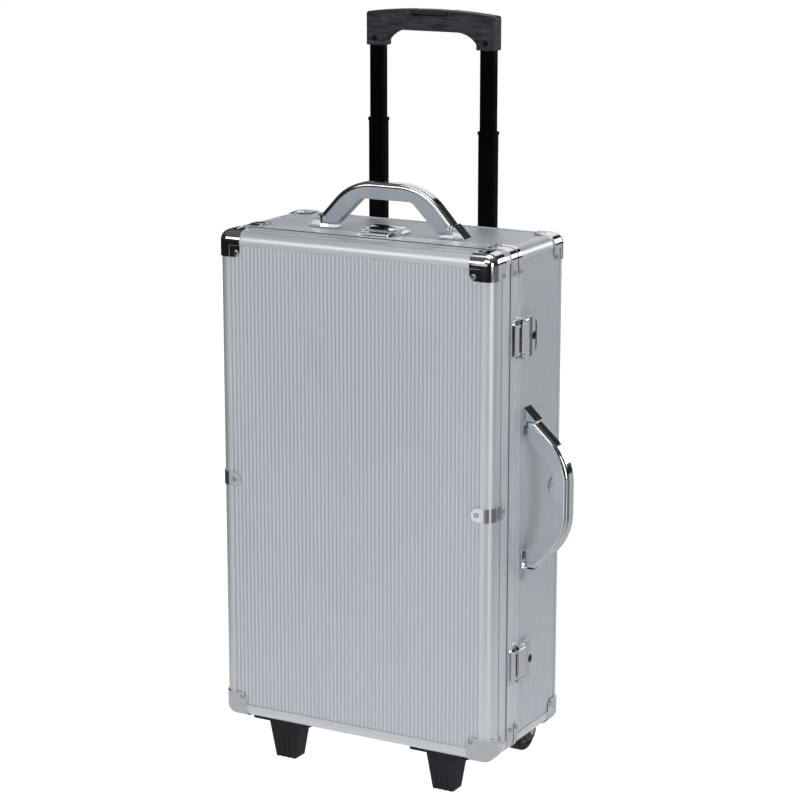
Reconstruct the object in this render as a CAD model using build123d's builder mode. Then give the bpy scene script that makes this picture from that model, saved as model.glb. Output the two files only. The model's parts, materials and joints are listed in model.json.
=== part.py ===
from build123d import *
import os

os.makedirs("parts", exist_ok=True)

# Case envelope, in mm. X runs to the right, Y to the back, Z up; the case is centred in X and Y
# while it is drawn and the floor is at Z = 0.
case_width = 346.0
case_depth = 177.0
case_height = 572.0
wheel_radius = 25.0
wheel_nest = 0.5
ground_clearance = 2 * wheel_radius - wheel_nest
lid_depth = 58.2
split_gap = 0.6

half_width = case_width / 2
front_y = -case_depth / 2
back_y = case_depth / 2
low_z = ground_clearance
top_z = low_z + case_height
middle_z = low_z + case_height / 2
split_y = front_y + lid_depth
lid_face_y = split_y - split_gap / 2
body_face_y = split_y + split_gap / 2

# Extruded rails, which hold the panels in grooves
edge_radius = 11.0
front_flange = 14.5
side_flange = 21.0
rear_flange = 12.0
skin = 1.2
panel_thickness = 4.0
lip = 1.2
lip_reach = 16.0
fit = 0.1
rail_stop_gap = 0.5
rail_stop = side_flange + rail_stop_gap
board = skin + panel_thickness
inside = board + lip

# Rails round the mouth of the two shells
lid_rail_width = 15.2
body_rail_width = 9.5
rail_groove = 0.6
bead_at = 5.5
bead_half = 1.3
bead_rise = 0.5
lid_panel_stop = 6.0
body_panel_stop = 5.0
inner_wall = 12.0
tongue_gap = 1.0
tongue_wall = 1.6
tongue_reach = 4.2
mouth_relief = 1.5
mouth_stop = edge_radius + mouth_relief
corner_leg = 30.0
corner_rise = 0.8
corner_leg_round = 3.5
corner_rivet_edge = 5.0
body_corner_seat = bead_rise + fit
body_corner_rise = body_corner_seat + corner_rise - fit

# Ribs pressed into the panels
rib_pitch = 5.0
rib_height = 0.5
rib_base = 3.6
rib_margin = 1.0
seat_gap = 0.05
seat = skin - rib_height - seat_gap

# Corner caps, edge clips and rivets
cap_reach = 28.5
cap_skin = 1.5
cap_lobe = 8.0
cap_arm = 15.0
lobe_skin = 0.8
clip_front = 25.0
clip_side = 33.0
clip_height = 16.0
clip_skin = 1.2
rivet_edge = 5.0
rivet_inset = cap_reach - rivet_edge
clip_rivet_inset = 7.0
rivet_radius = 3.0
rivet_height = 1.1
rivet_dome = 0.8

# Linings
lining_wall = 1.5
lining_gap = 0.1
lining_setback = 3.0

# Hinges on the left side
fastening_inset = 100.0
hinge_stand = 4.2
hinge_length = 60.0
barrel_radius = 3.2
hinge_pin_radius = 1.5
hinge_bore_gap = 0.05
knuckle_gap = 0.3
leaf_thickness = 1.5
leaf_width = 15.0
leaf_start = 3.6
leaf_seat = bead_rise + fit
hinge_arm_start = 0.6
hinge_arm_lap = 0.5

# Latches; a latch is drawn with X from the split towards the body, Y across and Z outwards
latch_width = 44.0
base_start = 9.8
base_end = 44.0
base_top = 0.8
base_round = 14.0
lug_thickness = 2.0
lug_start = 2.5
lug_end = 16.0
lug_height = 6.6
lug_round = 2.4
lever_pivot_s = 5.5
lever_pivot_n = 4.2
latch_pin_radius = 1.3
running_gap = 0.05
side_play = 0.4
ear_thickness = 2.0
ear_rim = 2.3
ear_drop = 1.0
lever_start = 20.0
lever_end = 38.0
lever_low = 4.6
lever_top = 6.0
lever_crown = 6.5
lever_edge = 5.3
lever_bevel = 0.6
lever_round = 15.0
lever_margin = 0.5
hook_pivot_s = 11.0
hook_pivot_n = 2.9
hook_bar_radius = 1.0
hook_eye_radius = 1.8
hook_low = 2.9
hook_top = 4.3
hook_end = -10.5
hook_window_at = -1.0
hook_window_length = 4.0
hook_window_width = 28.0
hook_cover_start = 2.0
hook_cover_end = 18.9
hook_cover_bevel = 0.6
hook_window_round = 1.6
claw_length = 2.5
claw_low = 1.3
strike_front = -14.0
strike_back = -1.5
strike_round = 2.0
strike_top = 1.0
strike_lip_at = -7.5
strike_lip_length = 1.5
strike_lip_top = 2.6
strike_lip_width = 32.0
plug_s = 29.0
plug_radius = 4.6
plug_rise = 0.4
key_slot_width = 1.2
key_slot_length = 4.6
key_slot_depth = 1.8
cam_length = 7.5
cam_width = 4.0
cam_low = 1.8
cam_top = 3.2
keeper_wall = 2.0
keeper_lap = 2.5
keeper_half = 3.0

# Carry handles; a handle is drawn with X along it, Y across and Z outwards
handle_setback = 25.3
side_handle_rise = 7.0
side_handle_z = middle_z + side_handle_rise
handle_y = split_y + handle_setback
handle_depth = 19.0
handle_top = 56.0
handle_thickness = 19.0
handle_clear = handle_top - handle_thickness
handle_end = 84.0
handle_foot = 66.0
handle_knee = 46.0
handle_inner_knee = 33.0
handle_shoulder = 14.5
handle_low = 4.0
handle_cap = 5.2
handle_cap_edge = 0.6
handle_cap_round = 4.6
handle_bend = 66.0
handle_shoulder_round = 6.0
handle_inner_bend = 9.0
handle_pivot = 11.2
handle_pin_radius = 2.5
handle_pin_depth = 12.0
handle_pin_seat = 3.0
handle_swing_gap = 0.5
handle_end_gap = 0.4
bracket_length = 15.5
bracket_start = handle_end + handle_end_gap
bracket_end = bracket_start + bracket_length
bracket_top = 15.5
bracket_plate = 0.9
bracket_half = 9.0
bracket_corner = 2.0
bracket_crest = 0.8
bracket_margin = 0.5

# Telescopic handle
tube_x = 71.0
outer_tube_width = 23.0
outer_tube_depth = 16.5
tube_standoff = 0.5
tube_y = back_y + tube_standoff + outer_tube_depth / 2
tube_wall = 0.9
tube_gap = 0.3
tube_corner = 4.0
tube_least_corner = 0.6
outer_tube_foot = 16.5
outer_tube_drop = 9.5
left_tube_rise = 113.5
outer_tube_low = low_z + outer_tube_foot
outer_tube_high = top_z - outer_tube_drop
left_tube_high = top_z + left_tube_rise
right_tube_drop = 8.0
middle_tube_length = 440.0
inner_tube_length = 410.0
tube_collar = 4.0
tube_collar_rise = 0.9
tube_bracket_overhang = 19.0
top_bracket_inset = 35.5
bottom_bracket_inset = 24.5
bracket_half_width = tube_x + tube_bracket_overhang
top_bracket_z = top_z - top_bracket_inset
bottom_bracket_z = low_z + bottom_bracket_inset
tube_bracket_height = 24.0
tube_bracket_wall = 2.5
tube_bracket_back = tube_y + outer_tube_depth / 2 + tube_bracket_wall
tube_bracket_cheek = 6.0

# Grip
grip_rise = 239.5
grip_height = 43.0
grip_depth = 18.8
grip_overhang = 11.0
grip_end_drop = 5.0
grip_arch = 18.6
grip_cheek = 12.0
grip_cheek_rise = 6.5
grip_arch_run = 25.0
grip_top = top_z + grip_rise
grip_low = grip_top - grip_height
grip_end_top = grip_top - grip_end_drop
grip_underside = grip_low + grip_arch
grip_half = tube_x + grip_overhang
grip_cheek_low = tube_x - grip_cheek
grip_cheek_top = grip_low + grip_cheek_rise
grip_arch_end = grip_cheek_low - grip_arch_run
inner_tube_seat = 22.0
inner_tube_high = grip_low + inner_tube_seat
inner_tube_low = inner_tube_high - inner_tube_length
grip_cheek_round = 3.0
grip_edge = 1.6
grip_wall = 2.0
channel_cover = 6.6
channel_high = grip_top - channel_cover
channel_half_depth = 6.0
button_half = 23.5
button_taper = 3.0
button_height = 5.2
button_low = grip_top - button_height
button_travel = 1.6
button_middle_drop = 0.2
button_end_drop = 0.8
button_side_gap = 0.4
button_gap = button_side_gap + button_travel * button_taper / button_height
button_rim = 1.6
button_stem_inset = 1.0
button_stem_depth = 8.0
yoke_rise = 6.9
yoke_low = grip_underside + yoke_rise
yoke_height = 4.0
yoke_depth = 7.0
rod_rise = 6.0
rod_radius = 2.5
spring_radius = 4.0
spring_wall = 1.0
grip_screw_rise = 8.0
grip_screw_z = grip_low + grip_screw_rise
grip_screw_sink = 1.4
grip_screw_bore = 3.4

# Wheels
wheel_overhang = 1.5
wheel_cap_gap = 0.4
wheel_width = 19.0
tyre_inner = 17.0
tyre_shoulder = 4.0
tyre_bead = 1.0
hub_overhang = 0.1
hub_rim_inset = 1.5
hub_rim_wall = 2.0
hub_boss_wall = 3.0
hub_boss_foot = 1.0
hub_dish = 3.0
hub_ring_inset = 0.5
hub_ring_foot = 6.0
hub_ring_low = 5.5
hub_ring_high = 3.0
axle_radius = 3.0
axle_bore_gap = 0.05
cheek_gap = 0.9
cheek_thickness = 3.6
cheek_radius = 13.0
mount_plate = 3.0
mount_front_inset = 52.5
mount_back_inset = 15.5
mount_overhang = 6.5
mount_screw_inset = 8.0
cheek_setback = 5.0
axle_head = 1.6
axle_head_rim = 2.0
hub_half = wheel_width / 2 + hub_overhang
cheek_inner = hub_half + cheek_gap
plate_half = cheek_inner + cheek_thickness + mount_overhang
wheel_x = half_width - cap_reach - wheel_cap_gap - plate_half
wheel_y = back_y + wheel_overhang
mount_front = back_y - mount_front_inset
mount_back = back_y - mount_back_inset

# Standing feet on the lid
foot_cap_gap = 2.0
foot_setback = 31.0
foot_flange_width = 77.0
foot_flange_depth = 44.0
foot_flange = 3.4
foot_top_width = 40.5
foot_top_depth = 33.0
foot_sole_width = 27.0
foot_sole_depth = 23.0
foot_groove = 0.9
foot_groove_half = 1.25
foot_groove_pitch = 6.5
foot_groove_stop = 6.0
foot_sole_corner = 3.0
foot_top_corner = 4.0
foot_flange_corner = 5.0
foot_screw_inset = 8.0
foot_x = half_width - cap_reach - foot_cap_gap - foot_flange_width / 2
foot_y = front_y + foot_setback

# Screw heads
screw_radius = 2.8
screw_height = 1.8
screw_dome = 1.1
recess_length = 3.4
recess_width = 0.85

# The drawn model is shifted so that the frame's origin lies under the middle of its outline.
reach_right = half_width + handle_top
reach_left = half_width + hinge_stand + barrel_radius
reach_back = wheel_y + wheel_radius
reach_front = -front_y + clip_skin + rivet_height
frame_x = (reach_right - reach_left) / 2
frame_y = (reach_back - reach_front) / 2


def save(part, node):
    placed = part.moved(Location((-frame_x, -frame_y, 0)))
    placed.label = node
    export_step(placed, "parts/" + node + ".step")


def edge_plane(point, u, v):
    return Plane(origin=point, x_dir=u, z_dir=Vector(u).cross(Vector(v)))


def corner_arc(start, end, radius):
    middle = edge_radius - radius / 2**0.5
    ThreePointArc(start, (middle, middle), end)


# Planes on the faces of the envelope, Z outwards
front_face = Plane((0, front_y, middle_z), x_dir=(1, 0, 0), z_dir=(0, -1, 0))
back_face = Plane((0, back_y, middle_z), x_dir=(-1, 0, 0), z_dir=(0, 1, 0))
right_face = Plane((half_width, 0, middle_z), x_dir=(0, 1, 0), z_dir=(1, 0, 0))
left_face = Plane((-half_width, 0, middle_z), x_dir=(0, -1, 0), z_dir=(-1, 0, 0))
top_face = Plane((0, 0, top_z), x_dir=(1, 0, 0), z_dir=(0, 0, 1))
bottom_face = Plane((0, 0, low_z), x_dir=(1, 0, 0), z_dir=(0, 0, -1))


def board_on(face, width, length, across=0.0, along=0.0):
    with BuildSketch(face.offset(-board)) as outline:
        with Locations((across, along)):
            Rectangle(width, length)
    extrude(outline.sketch, amount=panel_thickness)


with BuildSketch() as rib:
    with BuildLine():
        ThreePointArc((-rib_base / 2, 0), (0, rib_height), (rib_base / 2, 0))
        Line((rib_base / 2, 0), (-rib_base / 2, 0))
    make_face()


def ribs_on(face, width, length, across=0.0):
    count = int((width - 2 * rib_margin) / rib_pitch)
    first = across - (count - 1) * rib_pitch / 2
    section = Plane(face.origin, x_dir=face.x_dir, z_dir=-face.y_dir)
    with BuildSketch(section) as ribs:
        with Locations(*[(first + i * rib_pitch, -skin) for i in range(count)]):
            add(rib.sketch)
    extrude(ribs.sketch, amount=(length - 2 * rib_margin) / 2, both=True)


board_width = case_width - 2 * edge_radius
board_height = case_height - 2 * edge_radius
front_window_width = case_width - 2 * front_flange
front_window_height = case_height - 2 * front_flange

# Front panel of the lid, with vertical ribs
with BuildPart() as lid_panel:
    board_on(front_face, board_width, board_height)
    ribs_on(front_face, front_window_width, front_window_height)
save(lid_panel.part, "lid_panel")

# Back panel
with BuildPart() as back_panel:
    board_on(back_face, board_width, board_height)
    ribs_on(back_face, front_window_width, front_window_height)
save(back_panel.part, "back_panel")

# Side panels of the body, with vertical ribs between the two rails
body_board_front = body_face_y + body_panel_stop
body_board_back = back_y - edge_radius
body_board_depth = body_board_back - body_board_front
body_board_y = (body_board_front + body_board_back) / 2
side_window_front = body_face_y + body_rail_width
side_window_back = back_y - rear_flange
side_window = side_window_back - side_window_front
side_window_y = (side_window_front + side_window_back) / 2

with BuildPart() as right_panel:
    board_on(right_face, body_board_depth, board_height, across=body_board_y)
    ribs_on(right_face, side_window, front_window_height, across=side_window_y)
save(right_panel.part, "right_panel")

with BuildPart() as left_panel:
    board_on(left_face, body_board_depth, board_height, across=-body_board_y)
    ribs_on(left_face, side_window, front_window_height, across=-side_window_y)
save(left_panel.part, "left_panel")

# Top and bottom panel of the body, smooth
with BuildPart() as top_panel:
    board_on(top_face, board_width, body_board_depth, along=body_board_y)
save(top_panel.part, "top_panel")

with BuildPart() as bottom_panel:
    board_on(bottom_face, board_width, body_board_depth, along=-body_board_y)
save(bottom_panel.part, "bottom_panel")

# Smooth strips round the lid, from the front rails to the closing rails
strip_front = front_y + edge_radius
strip_back = lid_face_y - lid_panel_stop
strip_depth = strip_back - strip_front
strip_y = (strip_front + strip_back) / 2

with BuildPart() as lid_side_strips:
    board_on(right_face, strip_depth, board_height, across=strip_y)
    board_on(left_face, strip_depth, board_height, across=-strip_y)
    board_on(top_face, board_width, strip_depth, along=strip_y)
    board_on(bottom_face, board_width, strip_depth, along=-strip_y)
save(lid_side_strips.part, "lid_side_strips")


# Edge rails: a rounded corner with two outer flanges and two inner lips
def rail_section(flange_u, flange_v):
    with BuildLine() as outline:
        Line((flange_u, 0), (edge_radius, 0))
        corner_arc((edge_radius, 0), (0, edge_radius), edge_radius)
        Polyline(
            (0, edge_radius),
            (0, flange_v),
            (skin, flange_v),
            (skin, edge_radius),
            (board, edge_radius),
            (board, lip_reach),
            (inside, lip_reach),
            (inside, inside),
            (lip_reach, inside),
            (lip_reach, board),
            (edge_radius, board),
            (edge_radius, skin),
            (flange_u, skin),
            (flange_u, 0),
        )
    make_face(outline.edges())


def edge_rails(face_y, inward, side_reach, depth_start, depth_end):
    depth_y = (depth_start + depth_end) / 2
    for side in (-1, 1):
        upright = edge_plane((side * half_width, face_y, middle_z), (-side, 0, 0), (0, inward, 0))
        with BuildSketch(upright) as upright_section:
            rail_section(front_flange, side_reach)
        extrude(upright_section.sketch, amount=case_height / 2 - rail_stop, both=True)
        end_z = middle_z + side * case_height / 2
        crosswise = edge_plane((0, face_y, end_z), (0, 0, -side), (0, inward, 0))
        with BuildSketch(crosswise) as cross_section:
            rail_section(front_flange, side_reach)
        extrude(cross_section.sketch, amount=case_width / 2 - rail_stop, both=True)
        for level in (-1, 1):
            corner = (side * half_width, depth_y, middle_z + level * case_height / 2)
            with BuildSketch(edge_plane(corner, (-side, 0, 0), (0, 0, -level))) as depth_section:
                rail_section(front_flange, front_flange)
            extrude(depth_section.sketch, amount=(depth_end - depth_start) / 2, both=True)


with BuildPart() as lid_edge_rails:
    edge_rails(front_y, 1, side_flange, front_y + rail_stop, lid_face_y - lid_rail_width - fit)
save(lid_edge_rails.part, "lid_edge_rails")

with BuildPart() as body_edge_rails:
    edge_rails(back_y, -1, rear_flange, body_face_y + body_rail_width + fit, back_y - rail_stop)
save(body_edge_rails.part, "body_edge_rails")


# Closing rails round the mouth; the body's rail carries a bead and a tongue that enters the lid
def mouth_sides(face_y):
    upright = case_height / 2 - mouth_stop
    across = case_width / 2 - mouth_stop
    return [
        ((half_width, face_y, middle_z), (-1, 0, 0), upright),
        ((-half_width, face_y, middle_z), (1, 0, 0), upright),
        ((0, face_y, top_z), (0, 0, -1), across),
        ((0, face_y, low_z), (0, 0, 1), across),
    ]


with BuildPart() as lid_closing_rails:
    for middle, towards_inside, reach in mouth_sides(lid_face_y):
        with BuildSketch(edge_plane(middle, (0, -1, 0), towards_inside)):
            with BuildLine():
                Polyline(
                    (0, 0),
                    (bead_at - bead_half, 0),
                    (bead_at - bead_half, rail_groove),
                    (bead_at, rail_groove),
                    (bead_at, 0),
                    (lid_rail_width, 0),
                    (lid_rail_width, skin),
                    (lid_panel_stop, skin),
                    (lid_panel_stop, board),
                    (inner_wall, board),
                    (inner_wall, inside),
                    (0, inside),
                    (0, 0),
                )
            make_face()
        extrude(amount=reach, both=True)
save(lid_closing_rails.part, "lid_closing_rails")

tongue_outer = inside + tongue_gap
tongue_inner = tongue_outer + tongue_wall
bead_start = bead_at - bead_half
bead_end = bead_at + bead_half

with BuildPart() as body_closing_rails:
    for middle, towards_inside, reach in mouth_sides(body_face_y):
        with BuildSketch(edge_plane(middle, (0, 1, 0), towards_inside)):
            with BuildLine():
                Polyline(
                    (0, 0),
                    (bead_start - rail_groove, 0),
                    (bead_start - rail_groove, rail_groove),
                    (bead_start, rail_groove),
                    (bead_start, 0),
                )
                ThreePointArc((bead_start, 0), (bead_at, -bead_rise), (bead_end, 0))
                Polyline(
                    (bead_end, 0),
                    (bead_end, rail_groove),
                    (bead_end + rail_groove, rail_groove),
                    (bead_end + rail_groove, 0),
                    (body_rail_width, 0),
                    (body_rail_width, skin),
                    (body_panel_stop, skin),
                    (body_panel_stop, board),
                    (body_rail_width, board),
                    (body_rail_width, tongue_inner),
                    (-tongue_reach, tongue_inner),
                    (-tongue_reach, tongue_outer),
                    (0, tongue_outer),
                    (0, 0),
                )
            make_face()
        extrude(amount=reach, both=True)
save(body_closing_rails.part, "body_closing_rails")


# Corner pieces between the closing rails
def mouth_corners(start_y, end_y, leg_seat, leg_rise):
    block = mouth_stop - fit
    for side in (-1, 1):
        for level in (-1, 1):
            corner = (side * half_width, (start_y + end_y) / 2, middle_z + level * case_height / 2)
            with BuildSketch(edge_plane(corner, (-side, 0, 0), (0, 0, -level))) as angle:
                size = corner_leg + leg_rise
                with Locations((-leg_rise, -leg_rise)):
                    Rectangle(size, size, align=(Align.MIN, Align.MIN))
                outermost = vertices().sort_by(lambda v: v.X + v.Y)[0]
                fillet(outermost, edge_radius + leg_rise)
                with Locations((block, -leg_seat)):
                    Rectangle(size, size, align=(Align.MIN, Align.MIN), mode=Mode.SUBTRACT)
                with Locations((-leg_seat, block)):
                    Rectangle(size, size, align=(Align.MIN, Align.MIN), mode=Mode.SUBTRACT)
                with Locations((board, board), (edge_radius, skin), (skin, edge_radius)):
                    Rectangle(size, size, align=(Align.MIN, Align.MIN), mode=Mode.SUBTRACT)
            extrude(angle.sketch, amount=abs(end_y - start_y) / 2, both=True)
    leg_skin = leg_rise - leg_seat + fit / 2
    leg_ends = edges().filter_by(Axis.X) + edges().filter_by(Axis.Z)
    fillet(leg_ends.filter_by(lambda e: e.length < leg_skin), corner_leg_round)


with BuildPart() as lid_closing_corners:
    lid_corner_end = lid_face_y - lid_rail_width + split_gap / 2
    mouth_corners(lid_face_y - split_gap / 2, lid_corner_end, fit, corner_rise)
save(lid_closing_corners.part, "lid_closing_corners")

with BuildPart() as body_closing_corners:
    body_corner_end = body_face_y + body_rail_width - split_gap
    mouth_corners(body_face_y + split_gap / 2, body_corner_end, body_corner_seat, body_corner_rise)
save(body_closing_corners.part, "body_closing_corners")

# Corner caps: a rounded shell over three edges, with a lower riveted lobe on each face
corner_x = -half_width
with BuildPart() as cap_core:
    with Locations((corner_x - fit, front_y - fit, low_z - fit)):
        Box(2 * cap_reach, 2 * cap_reach, 2 * cap_reach, align=(Align.MIN, Align.MIN, Align.MIN))
    along_x = edges().filter_by(Axis.X).sort_by(lambda e: e.center().Y + e.center().Z)
    along_y = edges().filter_by(Axis.Y).sort_by(lambda e: e.center().X + e.center().Z)
    along_z = edges().filter_by(Axis.Z).sort_by(lambda e: e.center().X + e.center().Y)
    fillet([along_x[0], along_y[0], along_z[0]], edge_radius + fit)

with BuildPart() as front_corner_caps:
    cap_size = cap_reach + cap_skin
    with Locations((corner_x - cap_skin, front_y - cap_skin, low_z - cap_skin)):
        Box(cap_size, cap_size, cap_size, align=(Align.MIN, Align.MIN, Align.MIN))
    along_x = edges().filter_by(Axis.X).sort_by(lambda e: e.center().Y + e.center().Z)
    along_y = edges().filter_by(Axis.Y).sort_by(lambda e: e.center().X + e.center().Z)
    along_z = edges().filter_by(Axis.Z).sort_by(lambda e: e.center().X + e.center().Y)
    fillet([along_x[0], along_y[0], along_z[0]], edge_radius + cap_skin)
    fillet([along_x[-1], along_y[-1], along_z[-1]], cap_lobe)
    step = cap_skin - lobe_skin
    with Locations((corner_x + cap_arm, front_y - cap_skin, low_z + cap_arm)):
        Box(cap_reach, step, cap_reach, align=(Align.MIN, Align.MIN, Align.MIN), mode=Mode.SUBTRACT)
    with Locations((corner_x - cap_skin, front_y + cap_arm, low_z + cap_arm)):
        Box(step, cap_reach, cap_reach, align=(Align.MIN, Align.MIN, Align.MIN), mode=Mode.SUBTRACT)
    with Locations((corner_x + cap_arm, front_y + cap_arm, low_z - cap_skin)):
        Box(cap_reach, cap_reach, step, align=(Align.MIN, Align.MIN, Align.MIN), mode=Mode.SUBTRACT)
    add(cap_core.part, mode=Mode.SUBTRACT)
    mirror(about=Plane.YZ)
    mirror(about=Plane.XY.offset(middle_z))
save(front_corner_caps.part, "front_corner_caps")

with BuildPart() as rear_corner_caps:
    mirror(front_corner_caps.part, about=Plane.XZ)
save(rear_corner_caps.part, "rear_corner_caps")

# Clips that wrap the upright edges at mid-height
with BuildPart() as front_edge_clips:
    with BuildSketch(edge_plane((corner_x, front_y, middle_z), (1, 0, 0), (0, 1, 0))):
        with BuildLine():
            Line((clip_front, -clip_skin), (edge_radius, -clip_skin))
            corner_arc((edge_radius, -clip_skin), (-clip_skin, edge_radius), edge_radius + clip_skin)
            Polyline(
                (-clip_skin, edge_radius),
                (-clip_skin, clip_side),
                (-fit, clip_side),
                (-fit, edge_radius),
            )
            corner_arc((-fit, edge_radius), (edge_radius, -fit), edge_radius + fit)
            Polyline((edge_radius, -fit), (clip_front, -fit), (clip_front, -clip_skin))
        make_face()
    extrude(amount=clip_height / 2, both=True)
    front_end = edges().filter_by(Axis.Y).sort_by(Axis.X)[-2:]
    side_end = edges().filter_by(Axis.X).sort_by(Axis.Y)[-2:]
    fillet(front_end + side_end, clip_height / 2 - fit)
    mirror(about=Plane.YZ)
save(front_edge_clips.part, "front_edge_clips")

with BuildPart() as rear_edge_clips:
    mirror(front_edge_clips.part, about=Plane.XZ)
save(rear_edge_clips.part, "rear_edge_clips")

# Rivets on the caps, the clips and the legs of the closing corners
with BuildPart() as rivet:
    Cylinder(rivet_radius, rivet_height, align=(Align.CENTER, Align.CENTER, Align.MIN))
    fillet(edges().sort_by(Axis.Z)[-1], rivet_dome)


def rivet_seats(corner_side, corner_level):
    x = corner_side * (half_width - rivet_inset)
    y = front_y + rivet_inset
    z = middle_z + corner_level * (case_height / 2 - rivet_inset)
    outer_x = corner_side * (half_width + lobe_skin)
    outer_z = middle_z + corner_level * (case_height / 2 + lobe_skin)
    return [
        Location(Plane((x, front_y - lobe_skin, z), z_dir=(0, -1, 0))),
        Location(Plane((outer_x, y, z), z_dir=(corner_side, 0, 0))),
        Location(Plane((x, y, outer_z), z_dir=(0, 0, corner_level))),
    ]


def clip_rivet_seats(corner_side):
    x = corner_side * (half_width - clip_front + clip_rivet_inset)
    y = front_y + clip_side - clip_rivet_inset
    outer_x = corner_side * (half_width + clip_skin)
    return [
        Location(Plane((x, front_y - clip_skin, middle_z), z_dir=(0, -1, 0))),
        Location(Plane((outer_x, y, middle_z), z_dir=(corner_side, 0, 0))),
    ]


def closing_rivet_seats(y, leg_rise):
    inset = corner_leg - corner_rivet_edge
    seats = []
    for side in (-1, 1):
        for level in (-1, 1):
            z = middle_z + level * (case_height / 2 - inset)
            outer_z = middle_z + level * (case_height / 2 + leg_rise)
            seats.append(Location(Plane((side * (half_width + leg_rise), y, z), z_dir=(side, 0, 0))))
            seats.append(Location(Plane((side * (half_width - inset), y, outer_z), z_dir=(0, 0, level))))
    return seats


with BuildPart() as cap_rivets:
    for side in (-1, 1):
        for level in (-1, 1):
            with Locations(*rivet_seats(side, level)):
                add(rivet.part)
        with Locations(*clip_rivet_seats(side)):
            add(rivet.part)

lid_leg_y = (lid_face_y - split_gap / 2 + lid_corner_end) / 2
body_leg_y = (body_face_y + split_gap / 2 + body_corner_end) / 2
with BuildPart() as lid_rivets:
    add(cap_rivets.part)
    with Locations(*closing_rivet_seats(lid_leg_y, corner_rise)):
        add(rivet.part)
save(lid_rivets.part, "lid_rivets")

with BuildPart() as body_rivets:
    mirror(cap_rivets.part, about=Plane.XZ)
    with Locations(*closing_rivet_seats(body_leg_y, body_corner_rise)):
        add(rivet.part)
save(body_rivets.part, "body_rivets")


# Linings: open trays inside the two shells
def lining_tray(bottom_y, mouth_y):
    width = case_width - 2 * (inside + lining_gap)
    height = case_height - 2 * (inside + lining_gap)
    depth = abs(mouth_y - bottom_y)
    towards = 1 if mouth_y > bottom_y else -1
    with Locations((0, (bottom_y + mouth_y) / 2, middle_z)):
        Box(width, depth, height)
    with Locations((0, (bottom_y + mouth_y) / 2 + towards * lining_wall, middle_z)):
        Box(width - 2 * lining_wall, depth, height - 2 * lining_wall, mode=Mode.SUBTRACT)


body_lining_mouth = body_face_y + body_rail_width + fit
lid_lining_mouth = lid_face_y - tongue_reach - split_gap - lining_setback
with BuildPart() as body_lining:
    lining_tray(back_y - inside - lining_gap, body_lining_mouth)
save(body_lining.part, "body_lining")

with BuildPart() as lid_lining:
    lining_tray(front_y + inside + lining_gap, lid_lining_mouth)
save(lid_lining.part, "lid_lining")

# Hinges: two butt hinges whose barrels stand on the left side at the split
hinge_x = -half_width - hinge_stand
fastening_heights = (low_z + fastening_inset, top_z - fastening_inset)
knuckle = hinge_length / 3
hinge_bore = hinge_pin_radius + hinge_bore_gap
leaf_x = -half_width - leaf_seat - leaf_thickness / 2
arm_end = leaf_start + hinge_arm_lap
arm_width = hinge_stand - leaf_seat


def hinge_leaf(z, towards, knuckles):
    with Locations((leaf_x, split_y + towards * (leaf_start + leaf_width / 2), z)):
        Box(leaf_thickness, leaf_width, hinge_length)
    for offset in knuckles:
        with Locations((hinge_x, split_y, z + offset)):
            Cylinder(barrel_radius, knuckle - knuckle_gap)
        arm_y = split_y + towards * (hinge_arm_start + arm_end) / 2
        with Locations((hinge_x + arm_width / 2, arm_y, z + offset)):
            Box(arm_width, arm_end - hinge_arm_start, knuckle - knuckle_gap)
        with Locations((hinge_x, split_y, z + offset)):
            Cylinder(hinge_bore, hinge_length, mode=Mode.SUBTRACT)


with BuildPart() as hinge_body_leaves:
    for height in fastening_heights:
        hinge_leaf(height, 1, (-knuckle, knuckle))
save(hinge_body_leaves.part, "hinge_body_leaves")

with BuildPart() as hinge_lid_leaves:
    for height in fastening_heights:
        hinge_leaf(height, -1, (0,))
save(hinge_lid_leaves.part, "hinge_lid_leaves")

with BuildPart() as hinge_pins:
    for height in fastening_heights:
        with Locations((hinge_x, split_y, height)):
            Cylinder(hinge_pin_radius, hinge_length)
save(hinge_pins.part, "hinge_pins")

# Latches
half_latch = latch_width / 2
lug_inner = half_latch - lug_thickness
ear_outer = lug_inner - side_play
ear_inner = ear_outer - ear_thickness
hook_half = ear_inner - side_play
across_latch = Plane.XZ
latch_pin_bore = latch_pin_radius + running_gap


def tail_outline(start, end, half, round_off):
    with Locations(((start + end) / 2, 0)):
        Rectangle(end - start, 2 * half)
    fillet(vertices().group_by(Axis.X)[-1], round_off)


# Base plate on the panel, with two lugs that reach over the rail and hold the lever's pins
with BuildPart() as plain_base:
    with BuildSketch(Plane.XY.offset(-seat)):
        tail_outline(base_start, base_end, half_latch, base_round)
    extrude(amount=base_top + seat)
    for side in (-1, 1):
        with BuildSketch(across_latch.offset(-side * (half_latch - lug_thickness / 2))):
            Polygon(
                (lug_start, leaf_seat),
                (base_start, leaf_seat),
                (base_start, 0),
                (lug_end, 0),
                (lug_end, base_top),
                (lever_pivot_s + ear_rim + lug_round, lug_height),
                (lug_start, lug_height),
                align=None,
            )
            fillet(vertices().group_by(Axis.Y)[-1], lug_round)
            with Locations((lever_pivot_s, lever_pivot_n)):
                Circle(latch_pin_radius, mode=Mode.SUBTRACT)
        extrude(amount=lug_thickness / 2, both=True)

# The keyed base also has a keeper that the key cam turns under
keeper_inner = cam_length + 2 * side_play
keeper_outer = keeper_inner + keeper_wall
keeper_top = lever_low - side_play
keeper_low = cam_top + side_play
with BuildPart() as keyed_base:
    add(plain_base.part)
    with BuildSketch(Plane.YZ.offset(plug_s)):
        Polygon(
            (keeper_inner, 0),
            (keeper_outer, 0),
            (keeper_outer, keeper_top),
            (cam_length - keeper_lap, keeper_top),
            (cam_length - keeper_lap, keeper_low),
            (keeper_inner, keeper_low),
            align=None,
        )
    extrude(amount=keeper_half, both=True)

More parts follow.
